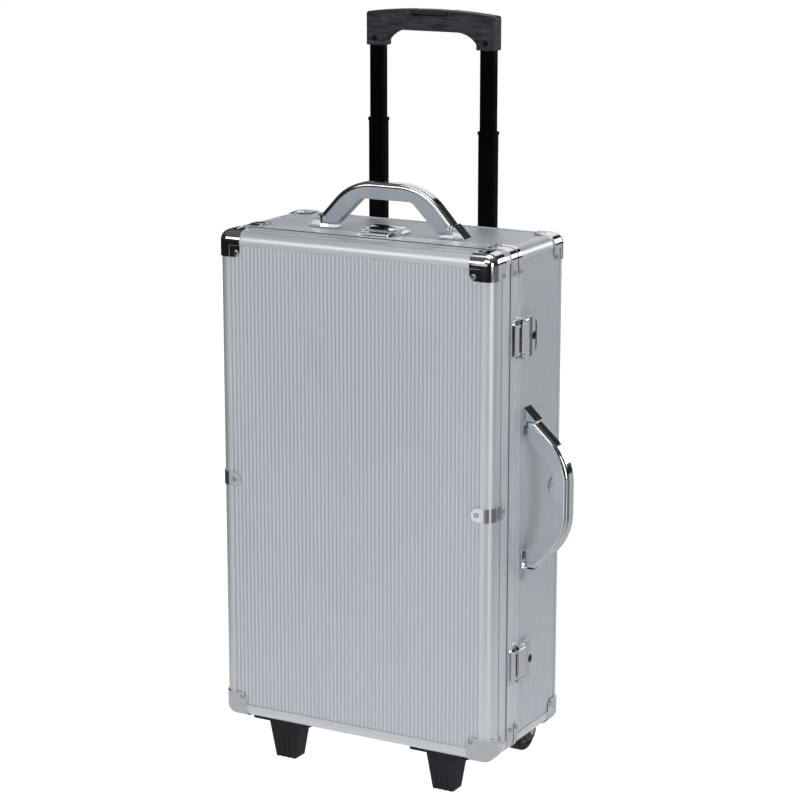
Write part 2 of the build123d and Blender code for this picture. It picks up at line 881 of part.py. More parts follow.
# Lever: a crowned plate with two ears, carrying the hook's bar between the ears
ear_foot = base_top + side_play
with BuildPart() as plain_lever:
    with BuildSketch(Plane.XY.offset(lever_low)):
        tail_outline(lever_start, lever_end, half_latch - lever_margin, lever_round)
    extrude(amount=lever_crown - lever_low)
    with BuildSketch(Plane.XZ) as crown:
        with BuildLine():
            crest = ((lever_start + lever_end) / 2, lever_crown)
            ThreePointArc((lever_start, lever_edge), crest, (lever_end, lever_edge))
            Polyline(
                (lever_end, lever_edge),
                (lever_end, lever_low),
                (lever_start, lever_low),
                (lever_start, lever_edge),
            )
        make_face()
    extrude(crown.sketch, amount=half_latch, both=True, mode=Mode.INTERSECT)
    for side in (-1, 1):
        with BuildSketch(across_latch.offset(-side * (ear_inner + ear_thickness / 2))):
            Polygon(
                (lever_pivot_s - ear_rim, lever_pivot_n - ear_drop),
                (hook_pivot_s - hook_eye_radius, ear_foot),
                (hook_pivot_s + hook_eye_radius, ear_foot),
                (lever_start + ear_rim, lever_low - ear_drop),
                (lever_start + ear_rim, lever_low + lever_bevel),
                (lever_start + lever_bevel, lever_top - lever_bevel),
                (lever_pivot_s + ear_rim, lever_pivot_n + ear_rim),
                (lever_pivot_s - ear_rim / 2, lever_pivot_n + ear_rim),
                (lever_pivot_s - ear_rim, lever_pivot_n + ear_rim / 2),
                align=None,
            )
            with Locations((lever_pivot_s, lever_pivot_n)):
                Circle(latch_pin_bore, mode=Mode.SUBTRACT)
        extrude(amount=ear_thickness / 2, both=True)
    with BuildSketch(across_latch):
        with Locations((hook_pivot_s, hook_pivot_n)):
            Circle(hook_bar_radius)
    extrude(amount=ear_inner + fit, both=True)

with BuildPart() as keyed_lever:
    add(plain_lever.part)
    with Locations((plug_s, 0, lever_low)):
        Cylinder(plug_radius + running_gap, 2 * lever_top, mode=Mode.SUBTRACT)

# Draw hook: a plate with an eye round the bar, a window, a claw and a cover level with the lever
with BuildPart() as draw_hook:
    with BuildSketch(across_latch):
        Polygon(
            (hook_pivot_s, hook_low),
            (hook_pivot_s, hook_top),
            (hook_end, hook_top),
            (hook_end, claw_low),
            (hook_end + claw_length, claw_low),
            (hook_end + claw_length, hook_low),
            align=None,
        )
        with Locations((hook_pivot_s, hook_pivot_n)):
            Circle(hook_eye_radius)
            Circle(hook_bar_radius + running_gap, mode=Mode.SUBTRACT)
    extrude(amount=hook_half, both=True)
    with BuildSketch(Plane.XY.offset(hook_low)):
        with Locations((hook_window_at, 0)):
            RectangleRounded(hook_window_length, hook_window_width, hook_window_round)
    extrude(amount=hook_top - hook_low, mode=Mode.SUBTRACT)
    with BuildSketch(Plane.XY.offset(hook_top - fit)):
        with Locations(((hook_cover_start + hook_cover_end) / 2, 0)):
            Rectangle(hook_cover_end - hook_cover_start, 2 * hook_half)
    extrude(amount=lever_top - hook_top + fit)
    chamfer(faces().sort_by(Axis.Z)[-1].edges(), hook_cover_bevel)

# Strike on the lid: a plate with a lip that the claw pulls
with BuildPart() as strike:
    with BuildSketch(Plane.XY.offset(fit / 2)):
        with Locations(((strike_front + strike_back) / 2, 0)):
            RectangleRounded(strike_back - strike_front, latch_width, strike_round)
    extrude(amount=strike_top - fit / 2)
    with BuildSketch(Plane.XY.offset(fit / 2)):
        with Locations((strike_lip_at + strike_lip_length / 2, 0)):
            Rectangle(strike_lip_length, strike_lip_width)
    extrude(amount=strike_lip_top - fit / 2)

# Key plug with a keyhole in its face and a cam below the lever
plug_top = lever_top + plug_rise
with BuildPart() as lock_plug:
    with BuildSketch(Plane.XY.offset(cam_low)):
        with Locations((plug_s, 0)):
            Circle(cam_width / 2)
        with Locations((plug_s + cam_length / 2, 0)):
            Rectangle(cam_length, cam_width)
    extrude(amount=cam_top - cam_low)
    with BuildSketch(Plane.XY.offset(cam_top)):
        with Locations((plug_s, 0)):
            Circle(plug_radius)
    extrude(amount=plug_top - cam_top)
    chamfer(edges().filter_by(GeomType.CIRCLE).sort_by(Axis.Z)[-1], plug_rise)
    with BuildSketch(Plane.XY.offset(plug_top - key_slot_depth)):
        with Locations((plug_s, 0)):
            Rectangle(key_slot_width, key_slot_length)
            Circle(key_slot_width)
    extrude(amount=key_slot_depth, mode=Mode.SUBTRACT)

upper_latch = Location(Plane((half_width, split_y, fastening_heights[1]), x_dir=(0, 1, 0), z_dir=(1, 0, 0)))
lower_latch = Location(Plane((half_width, split_y, fastening_heights[0]), x_dir=(0, 1, 0), z_dir=(1, 0, 0)))
top_latch = Location(Plane((0, split_y, top_z), x_dir=(0, 1, 0), z_dir=(0, 0, 1)))

with BuildPart() as latch_bases:
    with Locations(upper_latch, lower_latch):
        add(keyed_base.part)
    with Locations(top_latch):
        add(plain_base.part)
save(latch_bases.part, "latch_bases")

with BuildPart() as latch_strikes:
    with Locations(upper_latch, lower_latch, top_latch):
        add(strike.part)
save(latch_strikes.part, "latch_strikes")

with BuildPart() as upper_latch_lever:
    with Locations(upper_latch):
        add(keyed_lever.part)
save(upper_latch_lever.part, "upper_latch_lever")

with BuildPart() as lower_latch_lever:
    with Locations(lower_latch):
        add(keyed_lever.part)
save(lower_latch_lever.part, "lower_latch_lever")

with BuildPart() as top_latch_lever:
    with Locations(top_latch):
        add(plain_lever.part)
save(top_latch_lever.part, "top_latch_lever")

with BuildPart() as upper_latch_hook:
    with Locations(upper_latch):
        add(draw_hook.part)
save(upper_latch_hook.part, "upper_latch_hook")

with BuildPart() as lower_latch_hook:
    with Locations(lower_latch):
        add(draw_hook.part)
save(lower_latch_hook.part, "lower_latch_hook")

with BuildPart() as top_latch_hook:
    with Locations(top_latch):
        add(draw_hook.part)
save(top_latch_hook.part, "top_latch_hook")

with BuildPart() as upper_lock_plug:
    with Locations(upper_latch):
        add(lock_plug.part)
save(upper_lock_plug.part, "upper_lock_plug")

with BuildPart() as lower_lock_plug:
    with Locations(lower_latch):
        add(lock_plug.part)
save(lower_lock_plug.part, "lower_lock_plug")

# Carry handles: a moulded core, an outer chromed strip and two wedge brackets
leg_run = handle_end - handle_knee
leg_rise = handle_top - handle_shoulder
leg_length = (leg_run**2 + leg_rise**2) ** 0.5
core_end = handle_end - handle_cap * leg_length / leg_rise
core_top = handle_top - handle_cap
core_knee = core_end - (core_top - handle_shoulder) * leg_run / leg_rise


def bow_outline(end, knee, top, bend):
    right = [(handle_foot, handle_low), (end, handle_low), (end, handle_shoulder), (knee, top)]
    left = [(-x, z) for x, z in reversed(right)]
    inner = [(-handle_inner_knee, handle_clear), (handle_inner_knee, handle_clear)]
    Polygon(*right, *left, *inner, align=None)
    fillet(vertices().group_by(Axis.Y)[-1], bend)
    fillet(vertices().filter_by(lambda v: abs(v.Y - handle_clear) < fit), handle_inner_bend)
    fillet(vertices().filter_by(lambda v: abs(v.Y - handle_shoulder) < fit), handle_shoulder_round)


# Below the pivot a leg ends in a round about the pin, so that it clears the bracket plate as it swings
leg_round = handle_pivot - bracket_plate - handle_swing_gap
with BuildSketch(Plane.YZ) as below_leg_round:
    with Locations((0, handle_pivot)):
        Rectangle(2 * handle_depth, 2 * handle_pivot, align=(Align.CENTER, Align.MAX))
        Circle(leg_round, mode=Mode.SUBTRACT)

def on_outside(edge):
    middle = edge.center()
    return middle.Z > handle_clear + 1 or abs(middle.X) / handle_end + middle.Z / handle_top > 1.05


with BuildPart() as handle_core:
    with BuildSketch(Plane.XZ):
        bow_outline(core_end, core_knee, core_top, handle_bend - handle_cap)
    extrude(amount=handle_depth / 2 - handle_cap_edge, both=True)
    with BuildSketch(Plane.YZ):
        with Locations((0, handle_pivot)):
            Circle(handle_pin_radius + running_gap)
    extrude(amount=handle_end + 1, both=True, mode=Mode.SUBTRACT)
    extrude(below_leg_round.sketch, amount=handle_end + 1, both=True, mode=Mode.SUBTRACT)

with BuildPart() as handle_strip:
    with BuildSketch(Plane.XZ):
        bow_outline(handle_end, handle_knee, handle_top, handle_bend)
    extrude(amount=handle_depth / 2, both=True)
    flank = edges().filter_by(lambda e: abs(e.center().Y) > handle_depth / 2 - fit)
    fillet(flank.filter_by(on_outside), handle_cap_round)
    with BuildSketch(Plane.XZ):
        bow_outline(core_end, core_knee, core_top, handle_bend - handle_cap)
    extrude(amount=handle_depth, both=True, mode=Mode.SUBTRACT)
    with BuildSketch(Plane.YZ):
        with Locations((0, handle_pivot)):
            Circle(handle_pin_radius + running_gap)
    extrude(amount=handle_end + 1, both=True, mode=Mode.SUBTRACT)
    extrude(below_leg_round.sketch, amount=handle_end + 1, both=True, mode=Mode.SUBTRACT)

with BuildPart() as bracket_pair:
    for side in (-1, 1):
        with BuildSketch(Plane.XY.offset(-seat)):
            with Locations((side * (handle_foot + bracket_end) / 2, 0)):
                RectangleRounded(bracket_end - handle_foot, 2 * bracket_half, bracket_corner)
        extrude(amount=seat + bracket_plate)
        with BuildSketch(Plane.XZ):
            Polygon(
                (side * bracket_start, 0),
                (side * bracket_start, bracket_top),
                (side * (bracket_start + bracket_crest), bracket_top),
                (side * (bracket_end - bracket_margin), bracket_plate),
                (side * (bracket_end - bracket_margin), 0),
                align=None,
            )
        extrude(amount=bracket_half - bracket_margin, both=True)
    with BuildSketch(Plane.YZ):
        with Locations((0, handle_pivot)):
            Circle(handle_pin_radius)
    extrude(amount=bracket_start + handle_pin_seat, both=True, mode=Mode.SUBTRACT)

top_handle_seat = Location(Plane((0, handle_y, top_z), x_dir=(1, 0, 0), z_dir=(0, 0, 1)))
side_handle_seat = Location(Plane((half_width, handle_y, side_handle_z), x_dir=(0, 0, 1), z_dir=(1, 0, 0)))

with BuildPart() as top_handle_core:
    with Locations(top_handle_seat):
        add(handle_core.part)
save(top_handle_core.part, "top_handle_core")

with BuildPart() as top_handle_cap:
    with Locations(top_handle_seat):
        add(handle_strip.part)
save(top_handle_cap.part, "top_handle_cap")

with BuildPart() as side_handle_core:
    with Locations(side_handle_seat):
        add(handle_core.part)
save(side_handle_core.part, "side_handle_core")

with BuildPart() as side_handle_cap:
    with Locations(side_handle_seat):
        add(handle_strip.part)
save(side_handle_cap.part, "side_handle_cap")

with BuildPart() as handle_brackets:
    with Locations(top_handle_seat, side_handle_seat):
        add(bracket_pair.part)
save(handle_brackets.part, "handle_brackets")

# Pivot pins of the latches and the carry handles
with BuildPart() as latch_pin_pair:
    for side in (-1, 1):
        with Locations((lever_pivot_s, side * (ear_inner + half_latch) / 2, lever_pivot_n)):
            Cylinder(latch_pin_radius, half_latch - ear_inner, rotation=(90, 0, 0))

with BuildPart() as handle_pin_pair:
    for side in (-1, 1):
        with Locations((side * (bracket_start + handle_pin_seat - handle_pin_depth / 2), 0, handle_pivot)):
            Cylinder(handle_pin_radius, handle_pin_depth, rotation=(0, 90, 0))

with BuildPart() as pivot_pins:
    with Locations(upper_latch, lower_latch, top_latch):
        add(latch_pin_pair.part)
    with Locations(top_handle_seat, side_handle_seat):
        add(handle_pin_pair.part)
save(pivot_pins.part, "pivot_pins")

# Telescopic handle: each tube slides in the next larger one
step_in = 2 * (tube_wall + tube_gap)
middle_tube_width = outer_tube_width - step_in
middle_tube_depth = outer_tube_depth - step_in
inner_tube_width = middle_tube_width - step_in
inner_tube_depth = middle_tube_depth - step_in
middle_corner = tube_corner - tube_wall - tube_gap
inner_corner = middle_corner - tube_wall / 2


def tube(x, low, high, width, depth, corner):
    with BuildSketch(Plane((x, tube_y, low))) as ring:
        RectangleRounded(width, depth, corner)
        wall_corner = max(corner - tube_wall, tube_least_corner)
        RectangleRounded(width - 2 * tube_wall, depth - 2 * tube_wall, wall_corner, mode=Mode.SUBTRACT)
    extrude(ring.sketch, amount=high - low)


def middle_tube(x, high):
    tube(x, high - middle_tube_length, high, middle_tube_width, middle_tube_depth, middle_corner)
    with BuildSketch(Plane((x, tube_y, high - tube_collar))) as collar:
        collar_width = middle_tube_width + 2 * tube_collar_rise
        collar_depth = middle_tube_depth + 2 * tube_collar_rise
        RectangleRounded(collar_width, collar_depth, middle_corner + tube_collar_rise)
        lap_width = middle_tube_width - fit
        lap_depth = middle_tube_depth - fit
        RectangleRounded(lap_width, lap_depth, middle_corner, mode=Mode.SUBTRACT)
    extrude(collar.sketch, amount=tube_collar)


with BuildPart() as outer_tubes:
    for side in (-1, 1):
        x = side * tube_x
        tube(x, outer_tube_low, outer_tube_high, outer_tube_width, outer_tube_depth, tube_corner)
save(outer_tubes.part, "outer_tubes")

with BuildPart() as left_middle_tube:
    middle_tube(-tube_x, left_tube_high)
save(left_middle_tube.part, "left_middle_tube")

with BuildPart() as right_middle_tube:
    middle_tube(tube_x, left_tube_high - right_tube_drop)
save(right_middle_tube.part, "right_middle_tube")

with BuildPart() as inner_tubes:
    for side in (-1, 1):
        x = side * tube_x
        tube(x, inner_tube_low, inner_tube_high, inner_tube_width, inner_tube_depth, inner_corner)
save(inner_tubes.part, "inner_tubes")

# Brackets that hold the outer tubes against the back
tube_bracket_front = back_y + seat_gap
tube_bracket_depth = tube_bracket_back - tube_bracket_front


def tube_bracket(z):
    waist = 2 * (tube_x - outer_tube_width / 2 - tube_bracket_cheek)
    with BuildSketch(Plane.XY.offset(z - tube_bracket_height / 2)) as outline:
        with Locations((0, tube_bracket_front + tube_bracket_depth / 2)):
            Rectangle(2 * bracket_half_width, tube_bracket_depth)
        fillet(vertices().group_by(Axis.Y)[-1], tube_corner)
        with Locations((0, tube_bracket_back)):
            Rectangle(waist, tube_bracket_depth, mode=Mode.SUBTRACT)
    extrude(outline.sketch, amount=tube_bracket_height)


with BuildPart() as tube_brackets:
    tube_bracket(top_bracket_z)
    tube_bracket(bottom_bracket_z)
    with BuildSketch(Plane.XY.offset(outer_tube_low)):
        with Locations((-tube_x, tube_y), (tube_x, tube_y)):
            RectangleRounded(outer_tube_width, outer_tube_depth, tube_corner)
    extrude(amount=outer_tube_high - outer_tube_low, mode=Mode.SUBTRACT)
save(tube_brackets.part, "tube_brackets")

# Grip: two shells that clamp the inner tubes, with a channel for the release yoke
with BuildPart() as grip:
    with BuildSketch(Plane.XZ.offset(-tube_y)):
        with BuildLine():
            ThreePointArc((-grip_half, grip_end_top), (0, grip_top), (grip_half, grip_end_top))
            Polyline(
                (grip_half, grip_end_top),
                (grip_half, grip_low),
                (grip_cheek_low, grip_low),
                (grip_cheek_low, grip_cheek_top),
            )
            TangentArc((grip_arch_end, grip_underside), (grip_cheek_low, grip_cheek_top), tangent=(1, 0))
            Line((grip_arch_end, grip_underside), (-grip_arch_end, grip_underside))
            TangentArc((-grip_arch_end, grip_underside), (-grip_cheek_low, grip_cheek_top), tangent=(-1, 0))
            Polyline(
                (-grip_cheek_low, grip_cheek_top),
                (-grip_cheek_low, grip_low),
                (-grip_half, grip_low),
                (-grip_half, grip_end_top),
            )
        make_face()
        fillet(vertices().filter_by(lambda v: abs(v.Y - grip_cheek_top) < fit), grip_cheek_round)
        fillet(vertices().filter_by(lambda v: abs(v.Y - grip_end_top) < fit), 2 * grip_edge)
        fillet(vertices().filter_by(lambda v: abs(v.Y - grip_low) < fit), grip_edge / 2)
    extrude(amount=grip_depth / 2, both=True)
    rim = faces().sort_by(Axis.Y)[0].edges() + faces().sort_by(Axis.Y)[-1].edges()
    fillet(rim, grip_edge)
    with BuildSketch(Plane.XY.offset(grip_low - 1)):
        with Locations((-tube_x, tube_y), (tube_x, tube_y)):
            RectangleRounded(inner_tube_width, inner_tube_depth, inner_corner)
    extrude(amount=inner_tube_high - grip_low + 1, mode=Mode.SUBTRACT)
    channel_low = grip_underside + grip_wall
    with Locations((0, tube_y, (channel_low + channel_high) / 2)):
        channel_length = 2 * (tube_x + inner_tube_width / 2 - tube_wall)
        Box(channel_length, 2 * channel_half_depth, channel_high - channel_low, mode=Mode.SUBTRACT)
    notch_low = button_low - button_travel - split_gap
    notch_half = button_half + button_gap
    notch_base = notch_half - button_taper
    with BuildSketch(Plane.XZ.offset(-tube_y)):
        Polygon(
            (-notch_base, notch_low),
            (notch_base, notch_low),
            (notch_half, grip_top + 1),
            (-notch_half, grip_top + 1),
            align=None,
        )
    extrude(amount=grip_depth, both=True, mode=Mode.SUBTRACT)
    grip_front = tube_y - grip_depth / 2
    grip_hole_depth = tube_y - inner_tube_depth / 2 - grip_front
    for side in (-1, 1):
        with Locations((side * tube_x, grip_front, grip_screw_z)):
            sink = 2 * (screw_height + grip_screw_sink)
            Cylinder(grip_screw_bore, sink, rotation=(90, 0, 0), mode=Mode.SUBTRACT)
            Cylinder(screw_radius / 2, 2 * grip_hole_depth, rotation=(90, 0, 0), mode=Mode.SUBTRACT)

with BuildPart() as grip_front_shell:
    add(grip.part)
    split(bisect_by=Plane.XZ.offset(-tube_y), keep=Keep.TOP)
save(grip_front_shell.part, "grip_front_shell")

with BuildPart() as grip_rear_shell:
    add(grip.part)
    split(bisect_by=Plane.XZ.offset(-tube_y), keep=Keep.BOTTOM)
save(grip_rear_shell.part, "grip_rear_shell")

# Screws that hold the grip to the inner tubes
grip_head_front = grip_front + grip_screw_sink
with BuildPart() as grip_screws:
    for side in (-1, 1):
        with BuildSketch(Plane((side * tube_x, grip_head_front, grip_screw_z), z_dir=(0, 1, 0))):
            Circle(screw_radius)
        extrude(amount=screw_height)
        with BuildSketch(Plane((side * tube_x, grip_head_front, grip_screw_z), z_dir=(0, 1, 0))):
            Circle(screw_radius / 2)
        extrude(amount=grip_hole_depth - grip_screw_sink)
        with Locations((side * tube_x, grip_head_front, grip_screw_z)):
            Box(recess_length, screw_height, recess_width, mode=Mode.SUBTRACT)
            Box(recess_width, screw_height, recess_length, mode=Mode.SUBTRACT)
save(grip_screws.part, "grip_screws")

# Push button, and the yoke with the two release rods that it presses down
with BuildPart() as grip_button:
    with BuildSketch(Plane.XZ.offset(-tube_y)):
        with BuildLine():
            button_base = button_half - button_taper
            button_end_z = grip_top - button_end_drop
            crest = (0, grip_top - button_middle_drop)
            ThreePointArc((-button_half, button_end_z), crest, (button_half, button_end_z))
            Polyline(
                (button_half, button_end_z),
                (button_base, button_low),
                (-button_base, button_low),
                (-button_half, button_end_z),
            )
        make_face()
    extrude(amount=grip_depth / 2 - button_side_gap, both=True)
    top_rim = edges().filter_by(lambda e: e.center().Z > button_end_z and abs(e.center().Y - tube_y) > 1)
    fillet(top_rim, button_rim)
    yoke_high = yoke_low + yoke_height
    with Locations((0, tube_y, (yoke_high + button_low) / 2)):
        Box(2 * (button_base - button_stem_inset), button_stem_depth, button_low - yoke_high)
save(grip_button.part, "grip_button")

with BuildPart() as release_yoke:
    with Locations((0, tube_y, yoke_low + yoke_height / 2)):
        Box(2 * (tube_x + rod_radius), yoke_depth, yoke_height)
    rod_low = inner_tube_low + rod_rise
    for side in (-1, 1):
        with Locations((side * tube_x, tube_y, rod_low)):
            Cylinder(rod_radius, yoke_low - rod_low, align=(Align.CENTER, Align.CENTER, Align.MIN))
save(release_yoke.part, "release_yoke")

with BuildPart() as button_spring:
    with Locations((0, tube_y, channel_low)):
        Cylinder(spring_radius, yoke_low - channel_low, align=(Align.CENTER, Align.CENTER, Align.MIN))
        Cylinder(
            spring_radius - spring_wall,
            yoke_low - channel_low,
            align=(Align.CENTER, Align.CENTER, Align.MIN),
            mode=Mode.SUBTRACT,
        )
save(button_spring.part, "button_spring")

# Wheels: a hub with a raised ring, a tyre, an axle and a fork bracket under the case
rim_half = wheel_width / 2 - hub_rim_inset


def wheel_section(x):
    return Plane((x, wheel_y, wheel_radius), x_dir=(1, 0, 0), z_dir=(0, -1, 0))


def wheel_hub(x):
    bore = axle_radius + axle_bore_gap
    profile = [
        (hub_half, bore),
        (hub_half, bore + hub_boss_wall),
        (hub_half - hub_dish, bore + hub_boss_wall + hub_boss_foot),
        (hub_half - hub_dish, tyre_inner - hub_ring_foot),
        (hub_half - hub_ring_inset, tyre_inner - hub_ring_low),
        (hub_half - hub_ring_inset, tyre_inner - hub_ring_high),
        (rim_half, tyre_inner - hub_rim_wall),
        (rim_half, tyre_inner),
    ]
    with BuildSketch(wheel_section(x)) as section:
        Polygon(*profile, *[(-u, v) for u, v in reversed(profile)], align=None)
    revolve(section.sketch, axis=Axis((x, wheel_y, wheel_radius), (1, 0, 0)))


def tyre(x):
    with BuildSketch(wheel_section(x)) as section:
        with Locations((0, (tyre_inner + wheel_radius) / 2)):
            Rectangle(wheel_width, wheel_radius - tyre_inner)
        fillet(vertices().group_by(Axis.Y)[-1], tyre_shoulder)
        fillet(vertices().group_by(Axis.Y)[0], tyre_bead)
    revolve(section.sketch, axis=Axis((x, wheel_y, wheel_radius), (1, 0, 0)))


with BuildPart() as left_hub:
    wheel_hub(-wheel_x)
save(left_hub.part, "left_hub")

with BuildPart() as right_hub:
    wheel_hub(wheel_x)
save(right_hub.part, "right_hub")

with BuildPart() as left_tyre:
    tyre(-wheel_x)
save(left_tyre.part, "left_tyre")

with BuildPart() as right_tyre:
    tyre(wheel_x)
save(right_tyre.part, "right_tyre")

mount_high = low_z - fit / 2
mount_low = mount_high - mount_plate
with BuildPart() as wheel_brackets:
    for side in (-1, 1):
        with Locations((side * wheel_x, (mount_front + mount_back) / 2, (mount_low + mount_high) / 2)):
            Box(2 * plate_half, mount_back - mount_front, mount_plate)
        for cheek in (-1, 1):
            cheek_x = side * wheel_x + cheek * (cheek_inner + cheek_thickness / 2)
            with BuildSketch(Plane.YZ.offset(cheek_x)):
                with BuildLine():
                    Line((mount_front + cheek_setback, mount_low + fit), (mount_back, mount_low + fit))
                    CenterArc((wheel_y, wheel_radius), cheek_radius, 0, 360)
                make_hull()
                with Locations((wheel_y, wheel_radius)):
                    Circle(axle_radius, mode=Mode.SUBTRACT)
            extrude(amount=cheek_thickness / 2, both=True)
save(wheel_brackets.part, "wheel_brackets")

axle_half = cheek_inner + cheek_thickness
with BuildPart() as wheel_axles:
    for side in (-1, 1):
        with Locations((side * wheel_x, wheel_y, wheel_radius)):
            Cylinder(axle_radius, 2 * axle_half, rotation=(0, 90, 0))
        for end in (-1, 1):
            with Locations((side * wheel_x + end * (axle_half + axle_head / 2), wheel_y, wheel_radius)):
                Cylinder(axle_radius + axle_head_rim, axle_head, rotation=(0, 90, 0))
save(wheel_axles.part, "wheel_axles")

# Screws of the tube brackets and the wheel brackets
with BuildPart() as screw:
    Cylinder(screw_radius, screw_height, align=(Align.CENTER, Align.CENTER, Align.MIN))
    fillet(edges().sort_by(Axis.Z)[-1], screw_dome)
    with Locations((0, 0, screw_height)):
        Box(recess_length, recess_width, screw_height, mode=Mode.SUBTRACT)
        Box(recess_width, recess_length, screw_height, mode=Mode.SUBTRACT)

ledge_y = tube_bracket_back - tube_bracket_depth / 2
screw_offset = cheek_inner + cheek_thickness + mount_overhang / 2
with BuildPart() as case_screws:
    for z in (top_bracket_z, bottom_bracket_z):
        ledge = [Plane((x, ledge_y, z), z_dir=(0, 1, 0)) for x in (-tube_x / 2, tube_x / 2)]
        with Locations(*[Location(plane) for plane in ledge]):
            add(screw.part)
    for side in (-1, 1):
        for end in (-1, 1):
            for y in (mount_front + mount_screw_inset, mount_back - mount_screw_inset):
                x = side * wheel_x + end * screw_offset
                with Locations(Location(Plane((x, y, mount_low), z_dir=(0, 0, -1)))):
                    add(screw.part)
save(case_screws.part, "case_screws")

# Standing feet: a flange under the lid and a tapered leg with grooves on its front
foot_high = low_z - fit / 2
foot_flange_low = foot_high - foot_flange
with BuildPart() as front_feet:
    for side in (-1, 1):
        with BuildSketch(Plane((side * foot_x, foot_y, 0))):
            RectangleRounded(foot_sole_width, foot_sole_depth, foot_sole_corner)
        with BuildSketch(Plane((side * foot_x, foot_y, foot_flange_low))):
            RectangleRounded(foot_top_width, foot_top_depth, foot_top_corner)
        loft()
        for groove in (-1, 0, 1):
            lean = (foot_top_depth - foot_sole_depth) / 2
            with BuildSketch(Plane.YZ.offset(side * foot_x + groove * foot_groove_pitch)):
                Polygon(
                    (foot_y - foot_sole_depth / 2 - 1, -1),
                    (foot_y - foot_sole_depth / 2 + foot_groove, -1),
                    (foot_y - foot_top_depth / 2 + foot_groove, foot_flange_low - foot_groove_stop),
                    (foot_y - foot_top_depth / 2 - 1, foot_flange_low - foot_groove_stop + lean),
                    align=None,
                )
            extrude(amount=foot_groove_half, both=True, mode=Mode.SUBTRACT)
        with BuildSketch(Plane((side * foot_x, foot_y, foot_flange_low))):
            RectangleRounded(foot_flange_width, foot_flange_depth, foot_flange_corner)
        extrude(amount=foot_flange)
save(front_feet.part, "front_feet")

with BuildPart() as foot_screws:
    for side in (-1, 1):
        for end in (-1, 1):
            for row in (-1, 1):
                x = side * foot_x + end * (foot_flange_width / 2 - foot_screw_inset)
                y = foot_y + row * (foot_flange_depth / 2 - foot_screw_inset)
                with Locations(Location(Plane((x, y, foot_flange_low), z_dir=(0, 0, -1)))):
                    add(screw.part)
save(foot_screws.part, "foot_screws")
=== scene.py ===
import json
import math

import bmesh
import bpy
from mathutils import Matrix, Vector


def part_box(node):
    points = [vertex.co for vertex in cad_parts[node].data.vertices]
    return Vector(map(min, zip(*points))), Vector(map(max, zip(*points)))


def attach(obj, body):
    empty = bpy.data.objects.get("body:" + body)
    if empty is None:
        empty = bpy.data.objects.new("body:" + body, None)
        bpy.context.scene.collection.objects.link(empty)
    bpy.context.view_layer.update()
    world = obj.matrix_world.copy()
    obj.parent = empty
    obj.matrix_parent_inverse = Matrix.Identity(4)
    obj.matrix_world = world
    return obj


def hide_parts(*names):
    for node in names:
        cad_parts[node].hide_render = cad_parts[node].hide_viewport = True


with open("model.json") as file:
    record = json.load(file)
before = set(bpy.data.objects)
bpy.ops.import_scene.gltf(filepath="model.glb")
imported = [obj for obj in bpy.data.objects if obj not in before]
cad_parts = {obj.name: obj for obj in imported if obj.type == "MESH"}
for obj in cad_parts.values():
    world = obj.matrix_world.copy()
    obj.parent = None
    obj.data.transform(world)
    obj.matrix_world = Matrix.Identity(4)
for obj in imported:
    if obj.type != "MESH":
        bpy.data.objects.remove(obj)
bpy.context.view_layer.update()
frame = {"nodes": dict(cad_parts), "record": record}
nodes = frame["nodes"]
scene = bpy.context.scene
MM = 0.001
BLACK = (0.0, 0.0, 0.0)


# Camera, at the photograph's viewing angle
FOCAL_LENGTH = 114.04
SENSOR_WIDTH = 36.0
CAMERA_PLACE = (1.34214, -2.45558, 1.09718)
CAMERA_TARGET = (-0.0159, -0.0075, 0.4276)


def facing(place, target):
    """The rotation of a camera or light that looks from a place at a target."""
    return (Vector(target) - Vector(place)).to_track_quat("-Z", "Y").to_euler()


camera_data = bpy.data.cameras.new("camera")
camera_data.lens = FOCAL_LENGTH
camera_data.sensor_width = SENSOR_WIDTH
camera = bpy.data.objects.new("camera", camera_data)
camera.location = CAMERA_PLACE
camera.rotation_euler = facing(CAMERA_PLACE, CAMERA_TARGET)
scene.collection.objects.link(camera)
scene.camera = camera
scene.view_settings.view_transform = "Standard"


# Materials; the scales of textures are per metre
CASE_MIDDLE = (-24.3 * MM, -12.1 * MM)  # X and Y
RIB_CREST = (172.3 * MM, 87.8 * MM)  # outermost place of the ribs, from the middle along X and Y
# RIB_FADE, CREST_SHARE and VALLEY_SHADE set the painted shade that darkens the valleys between the ribs
RIB_FADE = 0.5 * MM
CREST_SHARE = 0.85
VALLEY_SHADE = 0.72
METAL_SHARE = 0.6
RAIL_METAL_SHARE = 0.75
DRAW_LINES = (9000.0, 9000.0, 40.0)
LINES_SHARE = 0.6
FLOW_AND_SHEEN_STREAKS = (34.0, 160.0, 300.0)
FINE_GRAIN = 2600.0
RUBBER_GRAIN = 1500.0


def feed(tree, value, target):
    """Gives a socket a constant, or links it to another node's output."""
    if isinstance(value, bpy.types.NodeSocket):
        tree.links.new(value, target)
    else:
        target.default_value = value


def add_node(tree, kind, settings=None, **inputs):
    """A shader node, with its settings and inputs."""
    made = tree.nodes.new("ShaderNode" + kind)
    for key, value in (settings or {}).items():
        setattr(made, key, value)
    for socket, value in inputs.items():
        feed(tree, value, made.inputs[socket.replace("_", " ")])
    return made


